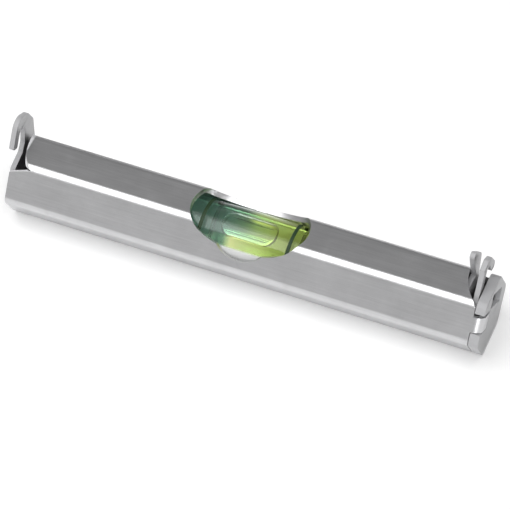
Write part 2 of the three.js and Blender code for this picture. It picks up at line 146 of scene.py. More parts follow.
class LEVEL_PG_hooks(bpy.types.PropertyGroup):
    top: length("Hook top", "Height of the hooks above the middle of the hexagon", 10.3)
    crown: length("Crown radius", "Radius of a hook's crown", 1.3)
    tip: length("Tip radius", "Radius of a tip", 0.45)
    root: length("Root radius", "Radius where a hook leaves the body", 0.4)
    seat: length("Seat radius", "Radius of the string's seat", 0.8)
    seat_top: length("Seat height", "Where the string bears", 8.2)
    leg_front: length("Leg front", "Front of the left hook's leg", 5.3)
    leg_crown: length("Leg crown", "Radius of the crown above that leg", 2.0)
    leg_rear: length("Leg rear", "Rear of that leg", 3.7)
    leg_tip: length("Leg tip", "Height of that leg's tip", 5.0)
    slot_rear: length("Slot rear", "Rear of the left hook's slot", 0.8)
    slot_bend: length("Slot bend", "Height where the slot turns in towards the seat", 5.2)
    seat_rear: length("Seat rear", "Rear of the left seat", 1.9)
    throat_front: length("Throat front", "Lowest point of the left slot, forward of the ridge", 1.0)
    throat_floor: length("Throat floor", "Height of that point", 3.5)
    plate_front: length("Plate front", "Front edge of the left plate, as the level lies", 2.2)
    plate_front_top: length("Plate front top", "Top of that edge, as the level lies", 8.5)
    crown_rear: length("Crown rear", "Rear of the left hook's crown", 1.4)
    shoulder_rear: length("Shoulder rear", "Left hook's shoulder", -1.2)
    shoulder_height: length("Shoulder height", "Height of that shoulder", 8.8)
    root_rear: length("Root rear", "Where the left hook leaves the body's outline", -3.7)
    cap_standoff: length("Cap standoff", "Between the outer blade and the end cap's face", 0.85)
    stem_front: length("Stem front", "Front of the outer blade's stem", 4.5)
    stem_rear: length("Stem rear", "Rear of that stem", 3.0)
    stem_root: length("Stem root", "Height where the blade narrows to its stem", 2.0)
    sill: length("Throat sill", "Top of the outer blade inside the body", 2.5)
    arm_top: length("Arm top", "Top of the outer blade's arm", 9.7)
    arm_crown_front: length("Arm crown front", "Front of the arm's crown", 3.4)
    arm_crown_rear: length("Arm crown rear", "Rear of that crown", 1.6)
    arm_end: length("Arm end", "Rear end of the arm", -1.6)
    arm_end_top: length("Arm end top", "Top of that end", 8.1)
    arm_end_bottom: length("Arm end bottom", "Tip of that end", 6.9)
    arm_tip_width: length("Arm tip width", "Width of that tip", 1.5)
    finger_front: length("Finger front", "Front of the inner blade's finger", 3.7)
    finger_tip: length("Finger tip", "Height of the finger's tip", 9.4)
    finger_root_front: length("Finger root front", "Front of the finger's root", -0.4)
    finger_root_rear: length("Finger root rear", "Rear of the finger's root", -2.9)
    finger_shoulder: length("Finger shoulder", "The finger's shoulder", -1.0)
    finger_shoulder_height: length("Finger shoulder height", "Height of that shoulder", 9.0)
    blade_spacing: length("Blade spacing", "Between the two blades of the double hook", 2.15)
    foot_width: length("Foot width", "Strip that lies inside on the bottom wall", 4.0)
    foot_length: length("Foot length", "Length of the left plate's foot", 7.0)
    bend: length("Bend radius", "Outside radius where a blade bends into its foot", 1.1)
    slot_front: length("Cap slot front", "Front of the end cap's slot", 2.4)
    slot_back: length("Cap slot rear", "Rear of that slot", -3.0)
    slot_height: length("Cap slot height", "Height of that slot", 2.3)
    slot_margin: length("Cap slot margin", "Metal left above that slot", 0.95)
    slot_corner: length("Cap slot corner", "Corner radius of that slot", 0.35)


class LEVEL_PG_vial(bpy.types.PropertyGroup):
    bore: length("Bore", "Diameter of the bore at its ends", 7.0)
    swell: length("Swell", "How much wider in radius the bore is at its middle", 0.15)
    spigot: length("Spigot", "How far a plug reaches into the bore", 2.0)
    overlap: length("Liquid overlap", "How far the liquid passes the bore, so that no air shows between", 0.07)
    film: length("Film", "Liquid left between the bubble and the bore", 0.12)
    bubble_width: length("Bubble width", "Width of the bubble, seen from above", 4.3)
    bubble_corner: length("Bubble corner", "Corner radius of the bubble, seen from above", 1.9)
    bubble_depth: length("Bubble depth", "Depth of the bubble below the film", 1.3)
    bubble_rim: length("Bubble rim", "Radius of the bubble's rounded rim", 0.25)
    line_proud: length("Line height", "How far a level line stands on the barrel", 0.03)
    line_depth: length("Line depth", "How far it goes into the barrel", 0.1)
    rim: length("Barrel easing", "How far the barrel's ends are eased", 0.2)


class LEVEL_PG_finish(bpy.types.PropertyGroup):
    metal: colour("Aluminium", "Colour of the brushed aluminium", 0.66, 0.66, 0.67)
    metal_rough: share("Aluminium roughness", "Roughness of the flats", 0.33)
    edge_rough: share("Edge roughness", "How much rougher the sheared edges are", 0.42)
    # The left cut's rolled edge is painted brighter than the tube: a painted highlight
    cut_highlight: share("Left cut", "Tone of the left cut's rolled edge against the tube's", 1.45, 2)
    # The end pieces' faces are painted darker than their sheared edges, by which way a surface faces: painted
    # shade
    edge_bright: share("Edge tone", "Tone of the sheared edges against the tube's", 0.95, 2)
    face_shade: share("Face tone", "Tone of the end pieces' faces against the tube's", 0.66)
    face_rough: share("End roughness", "How much rougher the end pieces are than the tube", 0.1)
    liquid: colour("Liquid", "Colour that the liquid lets through", 0.84, 0.96, 0.66)
    liquid_density: number("Liquid density", "Strength of its dye, per metre", 90)
    # The liquid's glow is partly a fluorescent dye and partly painted light; at the front it is wholly painted
    # light, a painted caustic
    glow: share("Liquid glow", "How much the fluorescent dye glows", 0.8)
    glow_left: colour("Glow left", "Colour of that glow towards the left end", 0.017, 0.03, 0.026)
    glow_right: colour("Glow right", "Colour of that glow towards the right end", 0.036, 0.04, 0.007)
    painted_light_front: colour("Glow front", "Colour of that glow in the bright patch at the front", 0.66, 0.6, 0.22)
    # A pale matt strip on the barrel, painted light standing in for a bright crescent
    pale_matt: colour("Frosting", "The barrel's frosted strip, against the front wall", 0.74, 0.75, 0.74)
    liquid_left: colour("Liquid left", "Tint of the liquid towards its left end", 0.74, 0.98, 0.93)
    liquid_right: colour("Liquid right", "Tint of the liquid towards its right end", 0.93, 0.99, 0.55)
    line: colour("Level lines", "Paint of the level lines", 0.009, 0.036, 0.008)
    plug: colour("Plugs", "Moulded plastic of the plugs", 0.72, 0.75, 0.70)


class LEVEL_PG_stage(bpy.types.PropertyGroup):
    azimuth: number("Azimuth", "Camera to the right of the front", math.radians(21.91), "ANGLE")
    elevation: number("Elevation", "Camera above the horizon", math.radians(49.82), "ANGLE")
    distance: length("Distance", "Camera to the point it aims at", 492.8)
    aim_x: length("Aim along", "Where the camera aims, along the level", 0.87)
    aim_z: length("Aim height", "Where the camera aims, above the floor", 3.05)
    lens: number("Lens", "Focal length", 225.9)
    floor: colour("Floor", "Colour of the floor", 0.86, 0.86, 0.86)
    floor_glow: share("Floor lift", "How much the floor is lifted towards white as the camera sees it", 0.22)
    floor_shine: share("Floor lift in reflections", "The share of that lift that reflections see", 0.45)
    left_card: share("Left card", "Light of the card behind the left end", 5.0, 20)
    card: share("Card", "Light of the card at the right, which the tab's fold reflects", 3.0, 20)
    world: share("Room", "Light from the front of the room", 0.5, 4)
    world_back: share("Room behind", "Light from behind the level", 0.26, 4)
    soft_box: share("Soft box", "Light of the soft box overhead", 2.5, 20)


def deselect():
    bpy.ops.object.select_all(action="DESELECT")


def pick(piece):
    """Makes piece the only selected object, and the active one."""
    deselect()
    piece.select_set(True)
    bpy.context.view_layer.objects.active = piece


def added(name):
    """Names the object that an operator has just added, and settles its place into its mesh."""
    piece = bpy.context.active_object
    piece.name = piece.data.name = name
    pick(piece)
    bpy.ops.object.transform_apply(location=True, rotation=True, scale=True)
    return piece


def apply_modifier(piece, kind, **settings):
    pick(piece)
    modifier = piece.modifiers.new(kind.title(), kind)
    for key, value in settings.items():
        setattr(modifier, key, value)
    bpy.ops.object.modifier_apply(modifier=modifier.name)


def combine(piece, other, operation):
    """Cuts, joins or crosses piece with other, which is used up."""
    apply_modifier(piece, "BOOLEAN", operation=operation, object=other, solver="EXACT")
    bpy.data.objects.remove(other)


def cut(piece, other):
    combine(piece, other, "DIFFERENCE")


def enter_edit(piece):
    pick(piece)
    bpy.ops.object.mode_set(mode="EDIT")


def leave_edit():
    bpy.ops.object.mode_set(mode="OBJECT")


def select_where(piece, kind, test):
    """Goes into edit mode and selects only the edges or vertices that test says yes to."""
    enter_edit(piece)
    bpy.ops.mesh.select_mode(type={"edges": "EDGE", "vertices": "VERT"}[kind])
    bpy.ops.mesh.select_all(action="DESELECT")
    leave_edit()
    for part in getattr(piece.data, kind):
        part.select = bool(test(part))
    enter_edit(piece)


def ends(piece, edge):
    return [piece.data.vertices[i].co for i in edge.vertices]


def span(piece, edge):
    """How far an edge reaches along X and along Y."""
    start, end = ends(piece, edge)
    return abs(start.x - end.x), abs(start.y - end.y)


def merge(piece, distance):
    """Goes into edit mode with all of piece selected, and joins points that lie together."""
    enter_edit(piece)
    bpy.ops.mesh.select_all(action="SELECT")
    bpy.ops.mesh.remove_doubles(threshold=distance)


def ease(piece, width, angle=SHARP, segments=2):
    """Eases the sharp edges and keeps the flats flat in the shading."""
    merge(piece, CLOSE)
    bpy.ops.mesh.dissolve_degenerate(threshold=CLOSE)
    leave_edit()
    if width:
        apply_modifier(piece, "BEVEL", width=width, segments=segments, limit_method="ANGLE", angle_limit=angle,
                       use_clamp_overlap=False, miter_outer="MITER_ARC")
    pick(piece)
    bpy.ops.object.shade_smooth_by_angle(angle=SMOOTH)
    apply_modifier(piece, "WEIGHTED_NORMAL", keep_sharp=True, weight=FLAT_WEIGHT)


def axes(x_axis, y_axis, origin):
    """A matrix whose columns are x_axis, y_axis and the axis square to both, at origin."""
    turn = Matrix((x_axis, y_axis, x_axis.cross(y_axis))).transposed()
    return Matrix.Translation(origin) @ turn.to_4x4()


def rounded(corners, steps=8):
    """An outline whose corners, each a point and a radius, are rounded by arcs."""
    points = []
    for i, (corner, radius) in enumerate(corners):
        corner = Vector(corner)
        if not radius:
            points.append(corner)
            continue
        before = (Vector(corners[i - 1][0]) - corner).normalized()
        after = (Vector(corners[(i + 1) % len(corners)][0]) - corner).normalized()
        half = before.angle(after) / 2
        centre = corner + (before + after).normalized() * radius / math.sin(half)
        start = corner + before * radius / math.tan(half) - centre
        turn = start.angle_signed(corner + after * radius / math.tan(half) - centre)
        for step in range(steps + 1):
            points.append(centre + Matrix.Rotation(-turn * step / steps, 2) @ start)
    return points


def flat_piece(name, points, low, high, x_axis, y_axis):
    """A flat outline given thickness from low to high square to its own axes."""
    curve = bpy.data.curves.new(name, "CURVE")
    curve.dimensions = "2D"
    curve.fill_mode = "BOTH"
    curve.extrude = (high - low) / 2
    spline = curve.splines.new("POLY")
    spline.points.add(len(points) - 1)
    for spot, point in zip(spline.points, points):
        spot.co = (point[0], point[1], 0, 1)
    spline.use_cyclic_u = True
    piece = bpy.data.objects.new(name, curve)
    bpy.context.scene.collection.objects.link(piece)
    normal = x_axis.cross(y_axis)
    base = HEX_MIDDLE if y_axis in (HANG_FRONT, HANG_UP) else Vector()
    piece.matrix_world = axes(x_axis, y_axis, base + normal * (low + high) / 2)
    pick(piece)
    bpy.ops.object.convert(target="MESH")
    piece = added(name)
    merge(piece, CLOSE / 2)
    bpy.ops.mesh.normals_make_consistent(inside=False)
    leave_edit()
    return piece


def slab(low, high):
    """A plain block between two corners, used only to cut."""
    low, high = Vector(low), Vector(high)
    bpy.ops.mesh.primitive_cube_add(size=1, location=(low + high) / 2, scale=high - low)
    return added("cut")


def cylinder(name, radius, depth, place, turn=LENGTHWISE, sides=ROUND_SIDES, ends="NGON"):
    """A cylinder along X, unless it is turned otherwise."""
    bpy.ops.mesh.primitive_cylinder_add(
        vertices=sides, radius=radius, depth=depth, end_fill_type=ends, location=place, rotation=turn)
    return added(name)


def hang(front, height):
    """Y and Z as the level lies, of a point given as it hangs."""
    return (height * math.sin(HANG_TURN) - front * math.cos(HANG_TURN),
            height * math.cos(HANG_TURN) + front * math.sin(HANG_TURN) + APOTHEM)


def lying(y, z):
    """Front and height as the level hangs, of a point given as it lies."""
    return ((z - APOTHEM) * math.sin(HANG_TURN) - y * math.cos(HANG_TURN),
            (z - APOTHEM) * math.cos(HANG_TURN) + y * math.sin(HANG_TURN))


def hang_outline(rows):
    """Rows of front, height and corner radius as one rounded outline."""
    return rounded([(hang(front, height), radius) for front, height, radius in rows])


def coat(piece, material):
    """Gives a piece one material, by its name."""
    piece.data.materials.clear()
    piece.data.materials.append(bpy.data.materials[material])


def finish_piece(piece, material, body, slot, *nodes):
    """Gives a piece its finish, its body and the nodes that it stands for."""
    coat(piece, material)
    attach(piece, body)
    if nodes:
        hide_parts(*nodes)


class Wire:
    """A shader socket that takes part in arithmetic."""

    def __init__(self, nodes, socket):
        self.nodes = nodes
        self.socket = socket

    def join(self, operation, first, second):
        return self.nodes.add("ShaderNodeMath", {0: first, 1: second}, operation=operation)

    def __add__(self, other):
        return self.join("ADD", self, other)

    __radd__ = __add__

    def __sub__(self, other):
        return self.join("SUBTRACT", self, other)

    def __rsub__(self, other):
        return self.join("SUBTRACT", other, self)

    def __mul__(self, other):
        return self.join("MULTIPLY", self, other)


class Nodes:
    """The nodes of one material or of the world."""

    def __init__(self, owner):
        owner.use_nodes = True
        self.tree = owner.node_tree
        self.tree.nodes.clear()

    def add(self, kind, sockets=None, output=0, **settings):
        """Adds a node, sets its settings and then its sockets, and gives back one of its outputs."""
        node = self.tree.nodes.new(kind)
        for key, value in settings.items():
            setattr(node, key, value)
        for key, value in (sockets or {}).items():
            if isinstance(value, Wire):
                self.tree.links.new(value.socket, node.inputs[key])
            else:
                node.inputs[key].default_value = value
        return Wire(self, node.outputs[output])

    def place(self, stretch):
        """Object coordinates, stretched."""
        spot = self.add("ShaderNodeTexCoord", output="Object")
        return self.add("ShaderNodeMapping", {"Vector": spot, "Scale": stretch})

    def part(self, vector, axis):
        return self.add("ShaderNodeSeparateXYZ", {"Vector": vector}, output=axis)

    def spot(self, axis):
        """One of the Object coordinates, in lengths of PLACE_UNIT."""
        return self.part(self.place((1 / PLACE_UNIT,) * 3), axis)

    def noise(self, stretch, detail, rough=0.5):
        """Noise from about 0.3 to 0.7, whose grains are 1 / stretch metres."""
        return self.add("ShaderNodeTexNoise", {
            "Vector": self.place(stretch), "Scale": 1, "Detail": detail, "Roughness": rough})

    def mix(self, mask, first, second):
        return self.add("ShaderNodeMix", {0: mask, 6: first, 7: second}, output=2, data_type="RGBA")

    def ramp(self, value, *stops):
        """Turns a value into a grey by stops, each a place and a shade."""
        wire = self.add("ShaderNodeValToRGB", {"Fac": value})
        elements = wire.socket.node.color_ramp.elements
        while len(elements) < len(stops):
            elements.new(1)
        for stop, (place, shade) in zip(elements, stops):
            stop.position = place
            stop.color = (shade, shade, shade, 1)
        return wire

    def bump(self, height):
        return self.add("ShaderNodeBump", {"Height": height, "Distance": GRAIN_DEPTH})

    def surface(self, sockets):
        return self.add("ShaderNodeBsdfPrincipled", sockets)

    def end(self, surface, kind="Material", **more):
        """Joins the surface, and a volume where one is given, to the output."""
        node = self.tree.nodes.new("ShaderNodeOutput" + kind)
        for key, value in {"Surface": surface, **more}.items():
            self.tree.links.new(value.socket, node.inputs[key])


def new_material(name):
    """The nodes of a new material, and the finishes that a user can set."""
    return Nodes(bpy.data.materials.new(name)), bpy.context.scene.level_finish


def scaled(tint, factor):
    """A colour made lighter or darker."""
    return tuple(min(1.0, part * factor) for part in tint[:3]) + (1,)


LIQUID_IOR = 1.36
BARREL_IOR = 1.12

# Stops of the ramps that say where a finish changes, over X, Y or Z in lengths of PLACE_UNIT
MIDDLE = 0.5  # added to X or Y, because a ramp takes 0 to 1
FAR_LEFT = 2  # added to X at the left end, for the same reason
CUT_FRONT = ((0.3, 1), (0.46, 0))  # the left cut, whose rolled edge gets a painted highlight, runs forward from the middle to the front wall
CUT_RUN = 0.104  # and gets this much further right
CUT_ROLL = ((0.514, 1), (0.521, 0))  # its rolled edge ends here
CUT_BACK = ((0.352, 0), (0.36, 1))  # and leaves out the front wall
CUT_HIGH = ((0.35, 0), (0.37, 1))  # and all that lies below the upper flat
PALE_MATT_TOP = ((0.322, 1), (0.334, 0))  # the barrel's pale matt strip, painted light, by height
PALE_MATT_FRONT = ((0.155, 0), (0.162, 1))  # and by how far forward it is
TURN = ((0.34, 0), (0.66, 1))  # the liquid's change of colour from left to right
BRIGHT_ALONG = ((0.37, 0), (0.42, 1), (0.5, 0.6), (0.6, 0.3), (0.69, 0))  # its brighter glow, a painted caustic at the front, along
BRIGHT_FRONT = ((0.078, 0), (0.1, 1))  # and by how far forward it is


def aluminium(name="brushed_aluminium", sheared=False):
    """Brushed along X: fine streaks in tone, roughness and height, with faint handling marks.

    The rolled edge of the left cut is painted brighter, a painted highlight, and is rougher. The end pieces are
    darker on their faces than on their sheared edges, set by which way a surface faces: painted shade. They are
    rougher on their sheared edges.
    """
    nodes, finish = new_material(name)
    streaks = nodes.noise((60, 2600, 2600), detail=5, rough=0.7)
    fine = nodes.noise((260, 14000, 14000), detail=2)
    cloud = nodes.noise((130, 160, 160), detail=4, rough=0.6)
    marks = nodes.ramp(nodes.noise((420, 420, 420), detail=5, rough=0.7), (0.56, 0), (0.74, 1))
    grain = streaks * 0.6 + fine * 0.4
    tone = nodes.ramp(grain * 0.55 + cloud * 0.45, (0.32, 0), (0.68, 1))
    base = nodes.mix(tone, scaled(finish.metal, 0.85), scaled(finish.metal, 1.12))
    dulled = nodes.mix(marks * 0.25, base, scaled(finish.metal, 0.8))
    rough = finish.metal_rough - 0.07 + grain * 0.1 + marks * 0.06
    if sheared:
        facing = nodes.part(nodes.add("ShaderNodeNewGeometry", output="Normal"), "X")
        edge = 1 - facing * facing
        rough = rough + edge * finish.edge_rough + finish.face_rough
        # Painted shade: faces that face along X are painted darker than the sheared edges
        face = nodes.mix(tone, *(scaled(finish.metal, finish.face_shade * part) for part in (0.9, 1.1)))
        tint = nodes.mix(edge, face, scaled(finish.metal, finish.edge_bright))
    else:
        across = nodes.spot("Y") + MIDDLE
        slope = nodes.ramp(across, *CUT_FRONT) * CUT_RUN
        left_cut = nodes.ramp(nodes.spot("X") - slope + FAR_LEFT, *CUT_ROLL)
        # Painted highlight: the rolled edge of the left cut gets a brighter colour
        roll = left_cut * nodes.ramp(across, *CUT_BACK) * nodes.ramp(nodes.spot("Z"), *CUT_HIGH)
        tint = nodes.mix(roll, dulled, scaled(finish.metal, finish.cut_highlight))
        rough = rough + roll * finish.edge_rough
    nodes.end(nodes.surface({
        "Base Color": tint, "Metallic": 1.0, "Roughness": rough,
        "Normal": nodes.bump(streaks * 0.7 + fine * 0.3)}))


def clear_acrylic():
    """Clear and glossy, but pale and matt in a strip where it lies against the front wall: painted light that
    stands in for the bright crescent there.

    It bends light less than acrylic does, so that its wall shows round the liquid.
    """
    nodes, finish = new_material("clear_acrylic")
    haze = nodes.ramp(nodes.noise((500, 900, 900), detail=4, rough=0.6), (0.45, 0), (0.75, 1))
    low = nodes.ramp(nodes.spot("Z"), *PALE_MATT_TOP)
    front = nodes.ramp(0 - nodes.spot("Y"), *PALE_MATT_FRONT)
    clear = nodes.surface({
        "Base Color": (0.97, 1.0, 0.985, 1), "Roughness": 0.01 + haze * 0.03,
        "Transmission Weight": 1.0, "IOR": BARREL_IOR, "Coat Weight": 0.5})
    # Painted light: a pale matt strip low at the front, in place of the bright crescent that the clear barrel
    # shows there
    pale_matt = nodes.surface({"Base Color": finish.pale_matt, "Roughness": 0.6})
    nodes.end(nodes.add("ShaderNodeMixShader", {0: low * front, 1: clear, 2: pale_matt}))


def liquid():
    """Teal at the left and yellow-green at the right, with a glow that is partly a fluorescent dye and partly
    painted light.

    The brighter glow at the front is painted light, a painted caustic standing in for light that a vial
    gathers. It is placed on the liquid, so it stays where it is when the bubble moves.
    """
    nodes, finish = new_material("vial_liquid")
    along, across = nodes.spot("X"), nodes.spot("Y")
    turn = nodes.ramp(along + MIDDLE, *TURN)
    patch = nodes.ramp(0 - across, *BRIGHT_FRONT) * nodes.ramp(along + MIDDLE, *BRIGHT_ALONG)
    # Painted light: an even glow, partly a fluorescent dye, and a brighter painted caustic at the front
    glow = nodes.mix(patch, nodes.mix(turn, finish.glow_left, finish.glow_right), finish.painted_light_front)
    surface = nodes.surface({
        "Base Color": nodes.mix(turn, finish.liquid_left, finish.liquid_right),
        "Roughness": 0.0, "Transmission Weight": 1.0, "IOR": LIQUID_IOR,
        "Emission Color": glow, "Emission Strength": finish.glow})
    dye = nodes.add("ShaderNodeVolumeAbsorption", {
        "Color": finish.liquid, "Density": finish.liquid_density})
    nodes.end(surface, Volume=dye)


def air():
    """The bubble, seen from the liquid: light bends the other way at its skin."""
    nodes = new_material("vial_air")[0]
    nodes.end(nodes.add("ShaderNodeBsdfGlass", {
        "Color": (1, 1, 1, 1), "Roughness": 0.0, "IOR": 1 / LIQUID_IOR}))


def paint():
    """Dark green paint of the level lines, a little uneven."""
    nodes, finish = new_material("line_paint")
    uneven = nodes.noise((1500, 1500, 1500), detail=3)
    nodes.end(nodes.surface({
        "Base Color": nodes.mix(uneven, scaled(finish.line, 0.7), scaled(finish.line, 1.4)),
        "Roughness": 0.5 + uneven * 0.2}))


def plug_plastic():
    """Satin moulded plastic."""
    nodes, finish = new_material("plug_plastic")
    cloud = nodes.noise((300, 300, 300), detail=3)
    pores = nodes.noise((4000, 4000, 4000), detail=2)
    nodes.end(nodes.surface({
        "Base Color": nodes.mix(cloud, scaled(finish.plug, 0.93), scaled(finish.plug, 1.04)),
        "Roughness": 0.4 + pores * 0.15, "Normal": nodes.bump(pores)}))


def quadratic(start, control, finish, steps=12):
    """Points of a curve from just after start to finish, drawn towards control."""
    start, control, finish = Vector(start), Vector(control), Vector(finish)
    shares = [step / steps for step in range(1, steps + 1)]
    return [start * (1 - s) ** 2 + control * 2 * s * (1 - s) + finish * s * s for s in shares]


class LEVEL_OT_body(bpy.types.Operator):
    """Folds the hexagonal tube, cuts its window and its ends, and folds its tab"""

    bl_idname = "level.body"
    bl_label = "Body"

    def execute(self, context):
        size = context.scene.level_body
        inside = APOTHEM - size.sheet
        left_end = -END_X + size.sheet + size.seam
        right_end = END_X - size.cap_depth - size.seam
        floor = size.sheet + size.fit
        body = cylinder("body_shell", RIDGE, 2 * END_X, HEX_MIDDLE, sides=HEX_SIDES, ends="NOTHING")
        select_where(body, "edges", lambda edge: span(body, edge)[0] > END_X)
        bpy.ops.mesh.bevel(offset_type="OFFSET", offset=size.corner * math.tan(HANG_TURN), segments=EDGE_STEPS,
                           affect="EDGES", clamp_overlap=False)
        leave_edit()
        apply_modifier(body, "SOLIDIFY", thickness=size.sheet, offset=-1, use_even_offset=True)

        beyond = END_X + size.overrun
        cut(body, slab((-beyond, -FLATS, -size.overrun), (left_end, FLATS, FLATS + size.overrun)))
        cut(body, slab((right_end, -FLATS, floor), (beyond, FLATS, FLATS + size.overrun)))
        bpy.ops.mesh.primitive_uv_sphere_add(
            segments=ROUND_SIDES, ring_count=SCOOP_RINGS, radius=1, location=(VIAL_MIDDLE.x, 0, FLATS),
            scale=(size.window_half_length, size.window_half_width, size.window_depth))
        cut(body, added("cut"))
        drill = HEX_MIDDLE + HANG_FRONT * (APOTHEM + size.overrun / 2) + HANG_UP * RIDGE / 2
        cut(body, cylinder("cut", size.notch, 2 * size.sheet + size.overrun,
                           (VIAL_MIDDLE.x, drill.y, drill.z), (math.pi / 2 - HANG_TURN, 0, 0)))

        cut_x = END_X - size.ridge_cut_right
        front_x = END_X - size.front_cut_right
        far_front = APOTHEM + size.overrun
        rear = size.cut_clear - inside
        right_plan = [(cut_x, rear), (beyond, rear), (beyond, far_front),
                      (front_x, far_front), (front_x, APOTHEM)]
        right_plan += quadratic((front_x, APOTHEM), (cut_x, size.cut_bend_right), (cut_x, 0))
        inner_edge = inside * math.tan(HANG_TURN)
        cut(body, flat_piece("cut", right_plan, -RIDGE - size.overrun, -inner_edge, ALONG, HANG_FRONT))

        left_ridge = -END_X + size.ridge_cut_left
        left_front = -END_X + size.front_cut_left
        left_plan = [(-beyond, -APOTHEM), (left_end, -APOTHEM)]
        left_plan += quadratic((left_end, -APOTHEM), (left_ridge, -APOTHEM / 2), (left_ridge, 0))
        left_plan += quadratic((left_ridge, 0), (left_ridge, size.cut_bend_left), (left_front, APOTHEM))
        left_plan += [(left_front, far_front), (-beyond, far_front)]
        lip_top = RIDGE / 2 - size.lip_drop_inner
        cut(body, flat_piece("cut", left_plan, -RIDGE - size.overrun, -lip_top, ALONG, HANG_FRONT))
        lip_low = RIDGE / 2 - size.lip_drop
        lip = [
            (-beyond, lip_low), (left_end, lip_low), (left_front, lip_top), (left_front, lip_top + size.fit),
            (-beyond, lip_top + size.fit)]
        cut(body, flat_piece("cut", lip, inside - size.inner_corner, APOTHEM + size.overrun, ALONG, HANG_UP))

        # The cut edge of the upper flat is rolled a little at the left end
        roll_end = -END_X + size.front_cut_left + size.fit
        roll_low = FLATS - size.sheet * ROLL_SHARE

        def on_cut(edge):
            """Whether an edge lies on that cut, and isn't one of the tube's long edges."""
            along, across = span(body, edge)
            return along < 3 * across and all(end.x < roll_end and end.z > roll_low for end in ends(body, edge))

        select_where(body, "edges", on_cut)
        bpy.ops.mesh.bevel(offset=size.roll, segments=4, affect="EDGES", clamp_overlap=True)
        leave_edit()

        tab = flat_piece("tab", self.tab(size), -size.tab_width / 2, size.tab_width / 2, ALONG, HANG_FRONT)
        combine(body, tab, "UNION")
        ease(body, size.rim)
        finish_piece(body, "brushed_aluminium", "level", "aluminium", "body_tube")
        return {"FINISHED"}

    @staticmethod
    def tab(size):
        """Plan of the tab that runs on from the front wall and folds into the end cap's notch."""
        root = END_X - size.cap_depth - size.seam - size.sheet
        return rounded([
            ((root, APOTHEM), 0),
            ((END_X, APOTHEM), size.tab_bend),
            ((END_X, APOTHEM - size.tab_reach), size.inner_corner),
            ((END_X - size.sheet, APOTHEM - size.tab_reach), 0),
            ((END_X - size.sheet, APOTHEM - size.sheet), size.tab_bend - size.sheet),
            ((root, APOTHEM - size.sheet), 0),
        ])


def set_on_foot(blade, rear, corners):
    """Cuts a blade off where its bend starts, joins on the foot that it bends into, and eases both."""
    size = bpy.context.scene.level_body
    hook = bpy.context.scene.level_hooks
    bend_top = size.sheet + size.fit + hook.bend
    cut(blade, slab((rear - size.overrun, -FLATS, -size.overrun), (END_X, FLATS, bend_top)))
    half = hook.foot_width / 2
    foot = flat_piece("foot", rounded(corners), -half, half, ALONG, UPRIGHT)
    combine(blade, foot, "UNION")
    ease(blade, size.rim * PLATE_EASING)


class LEVEL_OT_left_hook(bpy.types.Operator):
    """Cuts the left plate with its open hook, and bends its foot"""

    bl_idname = "level.left_hook"
    bl_label = "Left hook"

    def execute(self, context):
        size = context.scene.level_body
        hook = context.scene.level_hooks
        outline = hang_outline([
            (-APOTHEM, RIDGE / 2, size.corner),
            (-APOTHEM, -RIDGE / 2, size.corner),
            (*lying(-hook.plate_front, 0), 0),
            (*lying(-hook.plate_front, hook.plate_front_top), hook.tip),
            (hook.throat_front, hook.throat_floor, hook.seat),
            (hook.slot_rear, hook.slot_bend, hook.seat),
            (hook.seat_rear, hook.seat_top, hook.seat),
            (hook.leg_rear, hook.seat_top, hook.seat),
            (hook.leg_rear, hook.leg_tip, hook.tip),
            (hook.leg_front, hook.leg_tip, hook.tip),
            (hook.leg_front, hook.top, hook.leg_crown),
            (hook.crown_rear, hook.top, hook.crown),
            (hook.shoulder_rear, hook.shoulder_height, hook.crown),
            (hook.root_rear, RIDGE + hook.root_rear * math.tan(HANG_TURN), hook.root),
        ])
        floor = size.sheet + size.fit
        plate = flat_piece("hook_plate", outline, -END_X, -END_X + size.sheet, ACROSS, UPRIGHT)
        set_on_foot(plate, -END_X, [
            ((-END_X, floor), hook.bend),
            ((-END_X + hook.foot_length, floor), 0),
            ((-END_X + hook.foot_length, floor + size.sheet), 0),
            ((-END_X + size.sheet, floor + size.sheet), hook.bend - size.sheet),
            ((-END_X + size.sheet, APOTHEM), 0),
            ((-END_X, APOTHEM), 0),
        ])
        finish_piece(plate, "sheared_aluminium", "level", "aluminium", "left_hook_plate")
        return {"FINISHED"}


